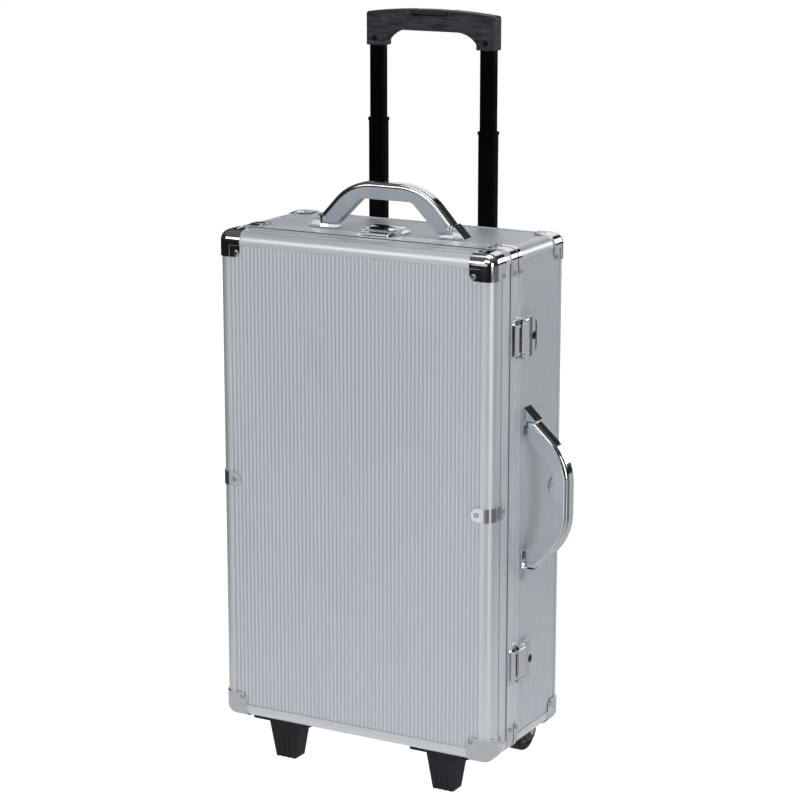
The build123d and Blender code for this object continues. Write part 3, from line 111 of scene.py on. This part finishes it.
class Finish:
    """A procedural material: one Principled shader, with texture nodes in the piece's own space."""

    def __init__(self, name, colour, roughness, metallic=0.0, **sockets):
        self.material = bpy.data.materials.new(name)
        self.material.use_nodes = True
        self.tree = self.material.node_tree
        self.shader = self.tree.nodes["Principled BSDF"]
        self.colour = colour
        self.set("Base Color", (*colour, 1.0))
        self.set("Metallic", metallic)
        self.set("Roughness", roughness)
        for socket, value in sockets.items():
            self.set(socket.replace("_", " "), value)
        self.place = self.add("TexCoord").outputs["Object"]
        self.normal = None

    def set(self, socket, value):
        feed(self.tree, value, self.shader.inputs[socket])

    def add(self, kind, settings=None, **inputs):
        return add_node(self.tree, kind, settings, **inputs)

    def calculate(self, operation, *values):
        """The result of a Math node on numbers or other nodes' outputs."""
        made = self.add("Math", {"operation": operation})
        for value, target in zip(values, made.inputs):
            feed(self.tree, value, target)
        return made.outputs[0]

    def stretched(self, scale):
        return self.add("Mapping", Vector=self.place, Scale=scale).outputs["Vector"]

    def noise(self, scale, detail, rough=0.5, place=None):
        place = place or self.place
        made = self.add("TexNoise", Vector=place, Scale=scale, Detail=detail, Roughness=rough)
        return made.outputs["Fac"]

    def spread(self, value, low=0.0, high=1.0, start=0.3, end=0.7):
        """Maps start..end of a value to low..high, and keeps it there."""
        ends = {"From_Min": start, "From_Max": end, "To_Min": low, "To_Max": high}
        return self.add("MapRange", {"clamp": True}, Value=value, **ends).outputs["Result"]

    def tint(self, value, dark, light):
        """Colour between two shares of the base colour, by a value from 0 to 1."""
        ramp = self.add("ValToRGB", Fac=value)
        for element, share in zip(ramp.color_ramp.elements, (dark, light)):
            element.color = (*[min(1.0, c * share) for c in self.colour], 1.0)
        self.set("Base Color", ramp.outputs["Color"])

    def bump(self, height, distance, strength):
        """A bump on top of those that are there; distance is in metres."""
        made = self.add("Bump", Height=height, Distance=distance, Strength=strength)
        if self.normal is not None:
            feed(self.tree, self.normal, made.inputs["Normal"])
        self.normal = made.outputs["Normal"]
        self.set("Normal", self.normal)


def anodised(name, colour, roughness, metal=METAL_SHARE, ribs=False):
    """Satin anodised aluminium, with fine draw lines along Z.

    On ribs the finish is lighter on the crests than in the valleys, whose darker colour is painted
    shade.
    """
    finish = Finish(name, colour, roughness, metallic=metal)
    lines = finish.noise(scale=1.0, detail=3.0, rough=0.6, place=finish.stretched(DRAW_LINES))
    cloud = finish.noise(scale=6.0, detail=3.0)
    cloud_share = finish.spread(cloud, low=0.0, high=1.0 - LINES_SHARE)
    uneven = finish.calculate("MULTIPLY_ADD", lines, LINES_SHARE, cloud_share)
    finish.set("Roughness", finish.spread(uneven, low=roughness - 0.05, high=roughness + 0.05))
    # Painted shade: the valleys between the ribs get a darker colour and the crests a lighter one,
    # mixed with the random cloud
    if ribs:
        apart = finish.add("SeparateXYZ", Vector=finish.place)
        crests = []
        for axis, middle, reach in zip("XY", CASE_MIDDLE, RIB_CREST):
            offset = finish.calculate("SUBTRACT", apart.outputs[axis], middle)
            away = finish.calculate("ABSOLUTE", offset)
            fade = {"start": reach - RIB_FADE, "end": reach}
            crests.append(finish.spread(away, low=0.0, high=CREST_SHARE, **fade))
        crest = finish.calculate("MAXIMUM", *crests)
        cloud_and_valley_shade = finish.calculate("MULTIPLY_ADD", cloud, 1.0 - CREST_SHARE, crest)
        finish.tint(cloud_and_valley_shade, dark=VALLEY_SHADE, light=1.0)
    else:
        finish.tint(finish.spread(cloud), dark=0.97, light=1.02)
    finish.bump(lines, distance=0.012 * MM, strength=0.5)
    return finish.material


def chrome(name, colour, roughness):
    """Plated steel with faint smudges and waves."""
    finish = Finish(name, colour, roughness, metallic=1.0)
    smudge = finish.noise(scale=90.0, detail=4.0, rough=0.6)
    waves = finish.noise(scale=120.0, detail=2.0)
    finish.set("Roughness", finish.spread(smudge, low=roughness - 0.02, high=roughness + 0.04))
    finish.tint(finish.spread(smudge), dark=1.02, light=0.96)
    finish.bump(waves, distance=0.02 * MM, strength=0.2)
    return finish.material


def moulded(name, colour, roughness, grain=FINE_GRAIN, depth=0.03 * MM, **sockets):
    """Moulded plastic or rubber with an eroded grain."""
    finish = Finish(name, colour, roughness, **sockets)
    grainy = finish.noise(scale=grain, detail=3.0, rough=0.6)
    cloud = finish.noise(scale=14.0, detail=4.0)
    finish.set("Roughness", finish.spread(cloud, low=roughness - 0.07, high=roughness + 0.07))
    finish.tint(finish.spread(cloud), dark=0.85, light=1.15)
    finish.bump(grainy, distance=depth, strength=0.5)
    return finish.material


def streaked(name, colour, roughness):
    """Black moulding with flow streaks along X, which vary its roughness and bump; their lighter colour
    is a painted sheen.
    """
    finish = Finish(name, colour, roughness, Specular_IOR_Level=0.3)
    flow_and_sheen = finish.noise(scale=1.0, detail=5.0, rough=0.65, place=finish.stretched(FLOW_AND_SHEEN_STREAKS))
    grainy = finish.noise(scale=FINE_GRAIN, detail=3.0, rough=0.6)
    # Painted sheen: the glossier streaks are also made lighter in colour
    finish.tint(finish.spread(flow_and_sheen, start=0.36, end=0.66), dark=0.3, light=2.3)
    finish.set("Roughness", finish.spread(flow_and_sheen, low=roughness + 0.08, high=roughness - 0.12))
    finish.bump(flow_and_sheen, distance=0.12 * MM, strength=0.4)
    finish.bump(grainy, distance=0.02 * MM, strength=0.4)
    return finish.material


def lined(name, colour, roughness):
    """Short felt of the linings."""
    finish = Finish(name, colour, roughness, Sheen_Weight=0.35, Sheen_Roughness=0.6)
    fibre = finish.noise(scale=900.0, detail=5.0, rough=0.75)
    tuft = finish.noise(scale=70.0, detail=4.0, rough=0.6)
    finish.tint(finish.spread(fibre, start=0.25, end=0.75), dark=0.55, light=1.4)
    finish.bump(tuft, distance=0.3 * MM, strength=0.35)
    finish.bump(fibre, distance=0.12 * MM, strength=0.6)
    return finish.material


materials = {
    "panel_aluminium": anodised("panel_anodised", (0.787, 0.827, 0.872), 0.50),
    "rail_aluminium": anodised("rail_anodised", (0.868, 0.90, 0.936), 0.44, RAIL_METAL_SHARE),
    "chrome": chrome("chromed_steel", (0.815, 0.84, 0.88), 0.08),
    "steel": chrome("nickelled_steel", (0.60, 0.60, 0.60), 0.22),
    "lining": lined("felt_lining", (0.022, 0.023, 0.026), 0.92),
    "handle_plastic": moulded(
        "handle_grey",
        (0.38, 0.415, 0.46),
        0.36,
        depth=0.01 * MM,
        Coat_Weight=0.5,
        Coat_Roughness=0.22,
    ),
    "tube_black": moulded(
        "tube_enamel",
        (0.0006, 0.0006, 0.0007),
        0.28,
        depth=0.006 * MM,
        Specular_IOR_Level=0.06,
    ),
    "black_plastic": moulded("black_moulding", (0.016, 0.016, 0.018), 0.45, Specular_IOR_Level=0.4),
    "hub_plastic": moulded("hub_moulding", (0.05, 0.052, 0.055), 0.42),
    "tyre": moulded(
        "tyre_rubber",
        (0.008, 0.008, 0.009),
        0.6,
        grain=RUBBER_GRAIN,
        depth=0.06 * MM,
        Specular_IOR_Level=0.3,
    ),
}
# A dark grey for the beads in the lid's joints: painted shade that stands in for the joints' shadow
# lines
shadow_line_grey = moulded("shadow_line_grey", (0.06, 0.062, 0.066), 0.5, grain=RUBBER_GRAIN)

# Nodes that look different from the rest of their slot
# ribbed darkens the valleys between the panels' ribs with painted shade
ribbed = anodised("ribbed_anodised", (0.812, 0.86, 0.915), 0.48, ribs=True)
foot_black = moulded("foot_moulding", (0.016, 0.016, 0.021), 0.62, Specular_IOR_Level=0.2)
grip_black = streaked("grip_moulding", (0.019, 0.020, 0.026), 0.46)
blackened = chrome("blackened_steel", (0.03, 0.03, 0.032), 0.38)
own_material = {
    "lid_panel": ribbed,
    "back_panel": ribbed,
    "left_panel": ribbed,
    "right_panel": ribbed,
    "front_feet": foot_black,
    "grip_front_shell": grip_black,
    "grip_rear_shell": grip_black,
    "grip_screws": blackened,
    "upper_lock_plug": blackened,
    "lower_lock_plug": blackened,
}
for part in frame["record"]["subparts"]:
    node_mesh = nodes[part["node"]].data
    node_mesh.materials.clear()
    node_mesh.materials.append(own_material.get(part["node"], materials[part["material_slot"]]))


# CAD nodes get fine rounded edges from modifiers
WELD_DISTANCE = 0.001 * MM
FLAT_ANGLE = math.radians(0.1)
SHARP_ANGLE = math.radians(28.0)
NORMAL_WEIGHT = 60
BROAD_WIDTH = 0.7
BROAD_SEGMENTS, FINE_SEGMENTS = 4, 2
ROUNDED = {  # width of the rounding in millimetres
    0.6: ("lid_edge_rails", "body_edge_rails", "lid_closing_rails", "body_closing_rails"),
    0.25: (
        "lid_closing_corners",
        "body_closing_corners",
        "front_corner_caps",
        "rear_corner_caps",
        "front_edge_clips",
        "rear_edge_clips",
        "latch_bases",
        "latch_strikes",
        "hinge_body_leaves",
        "hinge_lid_leaves",
    ),
    0.35: (
        "upper_latch_hook",
        "lower_latch_hook",
        "top_latch_hook",
        "wheel_brackets",
        "left_middle_tube",
        "right_middle_tube",
    ),
    0.5: ("tube_brackets", "front_feet", "grip_button"),
    0.8: ("upper_latch_lever", "lower_latch_lever", "top_latch_lever"),
    1.4: ("handle_brackets",),
    1.8: ("top_handle_core", "side_handle_core"),
}


def weld_group():
    """Joins the split vertices of an imported mesh and shades it smooth."""
    group = bpy.data.node_groups.new("weld_and_smooth", "GeometryNodeTree")
    group.interface.new_socket("Geometry", in_out="INPUT", socket_type="NodeSocketGeometry")
    group.interface.new_socket("Geometry", in_out="OUTPUT", socket_type="NodeSocketGeometry")
    start = group.nodes.new("NodeGroupInput")
    merge = group.nodes.new("GeometryNodeMergeByDistance")
    merge.inputs["Distance"].default_value = WELD_DISTANCE
    drop = group.nodes.new("GeometryNodeRemoveAttribute")
    drop.inputs["Name"].default_value = "custom_normal"
    smooth = group.nodes.new("GeometryNodeSetShadeSmooth")
    end = group.nodes.new("NodeGroupOutput")
    chain = [start, merge, drop, smooth, end]
    for first, second in zip(chain, chain[1:]):
        group.links.new(first.outputs[0], second.inputs[0])
    return group


welder = weld_group()


def soften(name, width, segments):
    """Rounds the sharp edges of a CAD node by a small width, in metres."""
    obj = nodes[name]
    obj.modifiers.new("weld", "NODES").node_group = welder
    flat = obj.modifiers.new("flat", "DECIMATE")
    flat.decimate_type = "DISSOLVE"
    flat.angle_limit = FLAT_ANGLE
    bevel = obj.modifiers.new("round", "BEVEL")
    bevel.width = width
    bevel.segments = segments
    bevel.limit_method = "ANGLE"
    bevel.angle_limit = SHARP_ANGLE
    bevel.use_clamp_overlap = True
    normals = obj.modifiers.new("normals", "WEIGHTED_NORMAL")
    normals.mode = "FACE_AREA"
    normals.weight = NORMAL_WEIGHT
    normals.keep_sharp = False


for rounding, names in ROUNDED.items():
    for node in names:
        soften(node, rounding * MM, BROAD_SEGMENTS if rounding > BROAD_WIDTH else FINE_SEGMENTS)


# What the pieces made here have in common
def band(made, first, second, closed=True):
    """Quads between two rows of as many vertices each."""
    count = len(first)
    for i in range(count if closed else count - 1):
        j = (i + 1) % count
        made.faces.new((first[i], first[j], second[j], second[i]))


def piece(name, made, material):
    """Puts a finished bmesh into the scene as an object."""
    mesh = bpy.data.meshes.new(name)
    made.to_mesh(mesh)
    made.free()
    mesh.materials.append(material)
    obj = bpy.data.objects.new(name, mesh)
    scene.collection.objects.link(obj)
    return obj


# Linings: felt trays with rounded inner corners and a piped hem round the mouth, in millimetres
TRAY_WALL, TRAY_CORNER, TRAY_COVE = 1.5, 9.0, 7.0
LEAST_CORNER = 1.0
LOW_EDGE_INSET, LOW_EDGE_HEIGHT = 0.4, 2.0
COVE_STEPS, CORNER_STEPS = 5, 6
HEM = (  # inset from the outside, depth below the mouth
    (0.0, 3.0),
    (0.0, 1.4),
    (0.35, 0.45),
    (1.1, 0.0),
    (1.9, 0.3),
    (2.3, 1.2),
    (2.1, 2.3),
    (1.65, 3.0),
    (TRAY_WALL, 4.0),
)


def tray_profile(depth):
    """From the outside of the floor over the hem to the inside of the floor."""
    cove_start = depth - TRAY_WALL - TRAY_COVE
    profile = [(LOW_EDGE_INSET, depth), (0.0, depth - LOW_EDGE_HEIGHT), *HEM]
    profile += [(TRAY_WALL, depth / 2), (TRAY_WALL, cove_start)]
    for step in range(1, COVE_STEPS + 1):
        turn = math.radians(90 / COVE_STEPS * step)
        inset = TRAY_WALL + TRAY_COVE * (1 - math.cos(turn))
        profile.append((inset, cove_start + TRAY_COVE * math.sin(turn)))
    return profile


def tray(name, node, body, towards):
    """A tray in the space of a CAD lining; towards is +1 where the mouth faces +Y."""
    low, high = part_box(node)
    middle_x = (low[0] + high[0]) / 2
    middle_z = (low[2] + high[2]) / 2
    half_x = (high[0] - low[0]) / 2
    half_z = (high[2] - low[2]) / 2
    mouth = high[1] if towards > 0 else low[1]
    made = bmesh.new()
    loops = []
    for inset, deep in tray_profile((high[1] - low[1]) / MM):
        radius = max(TRAY_CORNER - inset, LEAST_CORNER) * MM
        loop = []
        for quarter, (sign_x, sign_z) in enumerate(((1, 1), (-1, 1), (-1, -1), (1, -1))):
            centre_x = middle_x + sign_x * (half_x - inset * MM - radius)
            centre_z = middle_z + sign_z * (half_z - inset * MM - radius)
            for step in range(CORNER_STEPS + 1):
                turn = math.radians(90 * quarter + 90 / CORNER_STEPS * step)
                place = (
                    centre_x + radius * math.cos(turn),
                    mouth - towards * deep * MM,
                    centre_z + radius * math.sin(turn),
                )
                loop.append(made.verts.new(place))
        loops.append(loop)
    for outer, inner in zip(loops, loops[1:]):
        band(made, outer, inner)
    made.faces.new(loops[0])
    made.faces.new(loops[-1])
    bmesh.ops.recalc_face_normals(made, faces=made.faces)
    obj = piece(name, made, materials["lining"])
    for face in obj.data.polygons:
        face.use_smooth = len(face.vertices) == 4
    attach(obj, body)
    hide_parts(node)


tray("body_felt", "body_lining", "case", -1)
tray("lid_felt", "lid_lining", "lid", 1)


# Dark beads in the joints between the lid's strips and its rails, in millimetres; they are painted
# shade that stands in for the joints' shadow lines
SHADOW_LINE_JOINTS = ((-79.0, 0.45, 1.2), (-58.05, 0.1, 0.9))  # Y, half width, rise
SHADOW_LINE_RUNS = (  # middle, direction outward, direction along, half length
    ((147.5, 0, 335.5), (1, 0, 0), (0, 0, 1), 273.0),
    ((-196.1, 0, 335.5), (-1, 0, 0), (0, 0, 1), 273.0),
    ((-24.3, 0, 620.3), (0, 0, 1), (1, 0, 0), 160.0),
)
CREST_STEPS = 6


def shadow_line_beads():
    """Slim dark beads with a round crest, painted shade lines."""
    made = bmesh.new()
    for joint, half, rise in SHADOW_LINE_JOINTS:
        section = [(-half, 0.0), (-half, rise - half)]
        for step in range(1, CREST_STEPS):
            turn = math.radians(180 - 180 / CREST_STEPS * step)
            section.append((half * math.cos(turn), rise - half + half * math.sin(turn)))
        section += [(half, rise - half), (half, 0.0)]
        for middle, outward, along, reach in SHADOW_LINE_RUNS:
            loops = []
            for end in (-1, 1):
                start = Vector(middle) * MM + Vector(along) * (end * reach * MM)
                loop = []
                for across, height in section:
                    place = start + Vector(outward) * (height * MM)
                    place.y = (joint + across) * MM
                    loop.append(made.verts.new(place))
                loops.append(loop)
                made.faces.new(loop)
            band(made, *loops)
    bmesh.ops.recalc_face_normals(made, faces=made.faces)
    obj = piece("lid_shadow_line_beads", made, shadow_line_grey)
    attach(obj, "lid")


shadow_line_beads()


# Hinge screws: domed heads with a driver slot, seated a little in the leaf
HEAD_RADIUS, HEAD_RISE = 2.9 * MM, 0.5 * MM
HALF_SLOT, SEAT = 0.42 * MM, 0.1 * MM
HEAD_RINGS = (  # radius, height
    (HEAD_RADIUS, -SEAT),
    (HEAD_RADIUS, 0.0),
    (HEAD_RADIUS * 0.96, HEAD_RISE * 0.35),
    (HEAD_RADIUS * 0.8, HEAD_RISE * 0.75),
    (HEAD_RADIUS * 0.5, HEAD_RISE * 0.95),
)
HEAD_STEPS = 16
HINGE_X, SPLIT_Y, LEAF_MIDDLE = -199.4 * MM, -42.4 * MM, 11.1 * MM
HINGE_HEIGHTS = {"lower": 149.5 * MM, "upper": 521.5 * MM}
SCREW_PITCH = 20 * MM


def slotted_head(name, place, outward, body):
    """A head of two closed halves, with the slot between them."""
    made = bmesh.new()
    for side in (-1, 1):
        loops = []
        for radius, height in HEAD_RINGS:
            lean = math.asin(HALF_SLOT / radius)
            loop = []
            for step in range(HEAD_STEPS + 1):
                turn = lean + (math.pi - 2 * lean) * step / HEAD_STEPS
                corner = (radius * math.cos(turn), side * radius * math.sin(turn), height)
                loop.append(made.verts.new(corner))
            loops.append(loop)
        for outer, inner in zip(loops, loops[1:]):
            band(made, outer, inner, closed=False)
        made.faces.new(loops[0])
        made.faces.new(loops[-1])
        made.faces.new([loop[0] for loop in loops] + [loop[-1] for loop in reversed(loops)])
    bmesh.ops.recalc_face_normals(made, faces=made.faces)
    turned = Vector((0, 0, 1)).rotation_difference(Vector(outward)).to_matrix().to_4x4()
    made.transform(Matrix.Translation(place) @ turned)
    obj = piece(name, made, materials["steel"])
    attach(obj, body)


for hinge, hinge_height in HINGE_HEIGHTS.items():
    for leaf, side in (("case", 1), ("lid", -1)):
        for step in (-1, 0, 1):
            head_place = (HINGE_X, SPLIT_Y + side * LEAF_MIDDLE, hinge_height + step * SCREW_PITCH)
            slotted_head(f"{hinge}_{leaf}_hinge_screw_{step + 2}", Vector(head_place), (-1, 0, 0), leaf)


# Stage: a pale floor, a pale backdrop that closes the view above the floor's far edge, a table that
# only the metal mirrors, and the studio's lights. Levels are brightness, 1 being the white of the page
FLOOR_RADIUS, FLOOR_SHADE, FLOOR_LEVEL = 60.0, (0.35, 0.35, 0.35), 0.97
DISC_SIDES = 96
MATT = 0.9
BACKDROP_RADIUS, BACKDROP_LEVEL = 30.0, 1.0
BACKDROP_SIDES, BACKDROP_RINGS = 64, 32
TABLE_RADIUS, TABLE_PLACE = 3.3, (0.7, 1.15, -0.0005)
NEAR_LEVEL = 0.50
NEAR_END, FAR_START = 0.40, 1.05
TABLE_LEVELS = (  # direction seen from the object in degrees, level
    (-180, 0.06),
    (-145, 0.03),
    (-130, 0.36),
    (-118, 0.78),
    (-98, 0.78),
    (-85, 0.30),
    (-60, 0.16),
    (-42, 0.16),
    (-34, 0.75),
    (-24, 0.75),
    (-16, 0.16),
    (20, 0.16),
    (44, 0.14),
    (51, 0.44),
    (66, 0.44),
    (74, 0.08),
    (90, 0.05),
    (150, 0.04),
    (180, 0.06),
)
SKY_LEVELS = (  # share of the way from straight down to straight up, level
    (0.0, 0.01),
    (0.48, 0.01),
    (0.52, 0.025),
    (0.72, 0.025),
    (0.80, 0.08),
    (1.0, 0.12),
)
SKY_STRENGTH = 1.1
SOFTBOXES = (  # name, place, aim, size, level
    ("key", (0.3, -2.5, 2.5), (0.0, 0.0, 0.4), (2.6, 1.1), 2.8),
    ("fill", (-0.4, -3.6, 0.8), (0.0, 0.0, 0.5), (2.4, 1.4), 0.7),
    ("front_right", (2.6, -1.4, 0.9), (0.1, 0.0, 0.4), (0.9, 1.6), 3.5),
    ("back", (-0.9, 3.4, 1.9), (0.0, 0.0, 0.6), (2.6, 1.6), 0.85),
    ("right", (1.9, 2.9, 1.2), (0.1, 0.0, 0.4), (1.6, 1.0), 2.9),
    ("overhead", (0.1, 0.3, 3.2), (0.0, 0.0, 0.4), (2.4, 2.4), 1.05),
    ("strip", (-1.5, -2.5, 1.66), (-0.02, -0.1, 0.6), (1.2, 0.7), 3.3),
)


def glowing(name, colour, level):
    """A matt finish without highlights that shines white by itself."""
    glow = {"Emission_Color": (1.0, 1.0, 1.0, 1.0), "Emission_Strength": level}
    return Finish(name, colour, MATT, Specular_IOR_Level=0.0, **glow)


def disc(radius):
    made = bmesh.new()
    bmesh.ops.create_circle(made, cap_ends=True, segments=DISC_SIDES, radius=radius)
    return made


def sphere(radius):
    made = bmesh.new()
    sides = {"u_segments": BACKDROP_SIDES, "v_segments": BACKDROP_RINGS}
    bmesh.ops.create_uvsphere(made, radius=radius, **sides)
    return made


def staged(name, made, finish):
    """A piece of the stage, which is no part of the object."""
    obj = piece(name, made, finish.material)
    return obj


def grade(ramp, levels):
    """Sets the greys of a colour ramp."""
    elements = ramp.color_ramp.elements
    while len(elements) < len(levels):
        elements.new(0.5)
    for element, (position, level) in zip(elements, levels):
        element.position = position
        element.color = (level, level, level, 1.0)


floor = staged("floor", disc(FLOOR_RADIUS), glowing("pale_floor", FLOOR_SHADE, FLOOR_LEVEL))
floor.visible_glossy = False

backdrop = staged("backdrop", sphere(BACKDROP_RADIUS), glowing("pale_backdrop", BLACK, BACKDROP_LEVEL))
backdrop.visible_diffuse = False
backdrop.visible_glossy = False
backdrop.visible_shadow = False

# The table is pale near the object, and further off as bright as the studio is on that side
table_finish = glowing("white_table", BLACK, 1.0)
spot = table_finish.add("VectorMath", {"operation": "ADD"}, Vector=table_finish.place)
spot.inputs[1].default_value = TABLE_PLACE
spot_parts = table_finish.add("SeparateXYZ", Vector=spot.outputs["Vector"])
bearing = table_finish.calculate("ARCTAN2", spot_parts.outputs["Y"], spot_parts.outputs["X"])
share_round = table_finish.spread(bearing, start=-math.pi, end=math.pi)
far_ramp = table_finish.add("ValToRGB", Fac=share_round)
grade(far_ramp, [((angle + 180) / 360, level) for angle, level in TABLE_LEVELS])
reach = table_finish.add("VectorMath", {"operation": "LENGTH"}, Vector=spot.outputs["Vector"])
far_share = table_finish.spread(reach.outputs["Value"], start=NEAR_END, end=FAR_START)
near_and_far = table_finish.add(
    "MixRGB",
    Fac=far_share,
    Color1=(NEAR_LEVEL, NEAR_LEVEL, NEAR_LEVEL, 1.0),
    Color2=far_ramp.outputs["Color"],
)
table_finish.set("Emission Color", near_and_far.outputs["Color"])
table = staged("table", disc(TABLE_RADIUS), table_finish)
table.location = TABLE_PLACE
table.visible_camera = False
table.visible_diffuse = False
table.visible_shadow = False

world = bpy.data.worlds.new("studio")
scene.world = world
world.use_nodes = True
sky = world.node_tree
direction = add_node(sky, "TexCoord").outputs["Generated"]
up = add_node(sky, "SeparateXYZ", Vector=direction).outputs["Z"]
share_up = add_node(sky, "MapRange", Value=up, From_Min=-1.0).outputs["Result"]
sky_ramp = add_node(sky, "ValToRGB", Fac=share_up)
grade(sky_ramp, SKY_LEVELS)
background = sky.nodes["Background"]
feed(sky, sky_ramp.outputs["Color"], background.inputs["Color"])
feed(sky, SKY_STRENGTH, background.inputs["Strength"])


def softbox(name, place, aim, size, level):
    """A soft light; level is how bright its face looks."""
    data = bpy.data.lights.new(name, "AREA")
    data.shape = "RECTANGLE"
    data.size, data.size_y = size
    data.energy = level * math.pi * size[0] * size[1]
    obj = bpy.data.objects.new(name, data)
    obj.location = place
    obj.rotation_euler = facing(place, aim)
    obj.visible_camera = False
    scene.collection.objects.link(obj)


for light in SOFTBOXES:
    softbox(*light)
